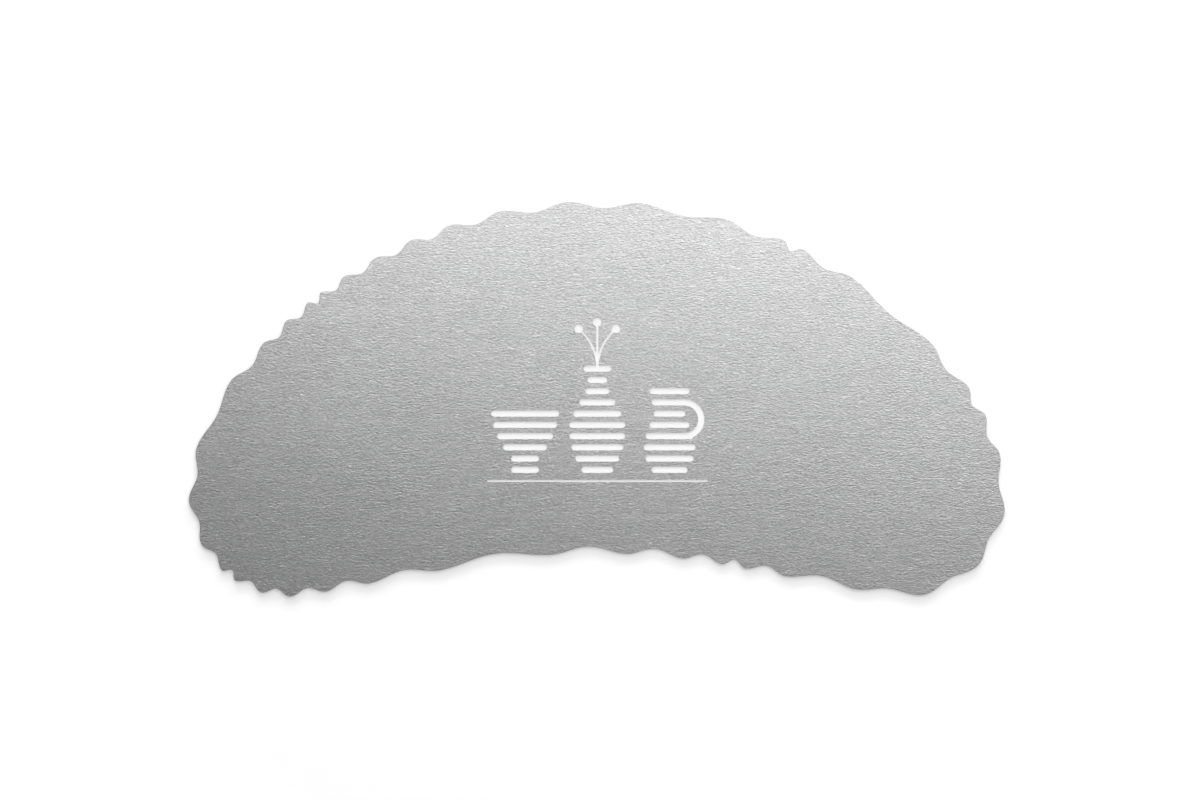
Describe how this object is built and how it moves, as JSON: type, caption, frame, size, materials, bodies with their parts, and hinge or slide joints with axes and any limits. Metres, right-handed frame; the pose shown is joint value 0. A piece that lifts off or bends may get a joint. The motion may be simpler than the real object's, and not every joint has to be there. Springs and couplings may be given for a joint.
{
  "type": "pottery rib",
  "caption": "Flat kidney-shaped rib of thin brushed sheet steel with a scalloped edge all round, for smoothing and texturing clay.",
  "frame": {"origin": "middle of the box round the sheet, on the face that it lies on", "axes": "+X from end to end, +Y from the hollow edge to the crown, +Z out of the etched face, through the sheet's thickness"},
  "size_m": [0.1016, 0.0492, 0.0005],
  "materials": {
    "sheet_steel": "brushed along its length, with a white etched mark"
  },
  "bodies": {
    "root": {"rib_blade": "sheet_steel"}
  },
  "joints": []
}
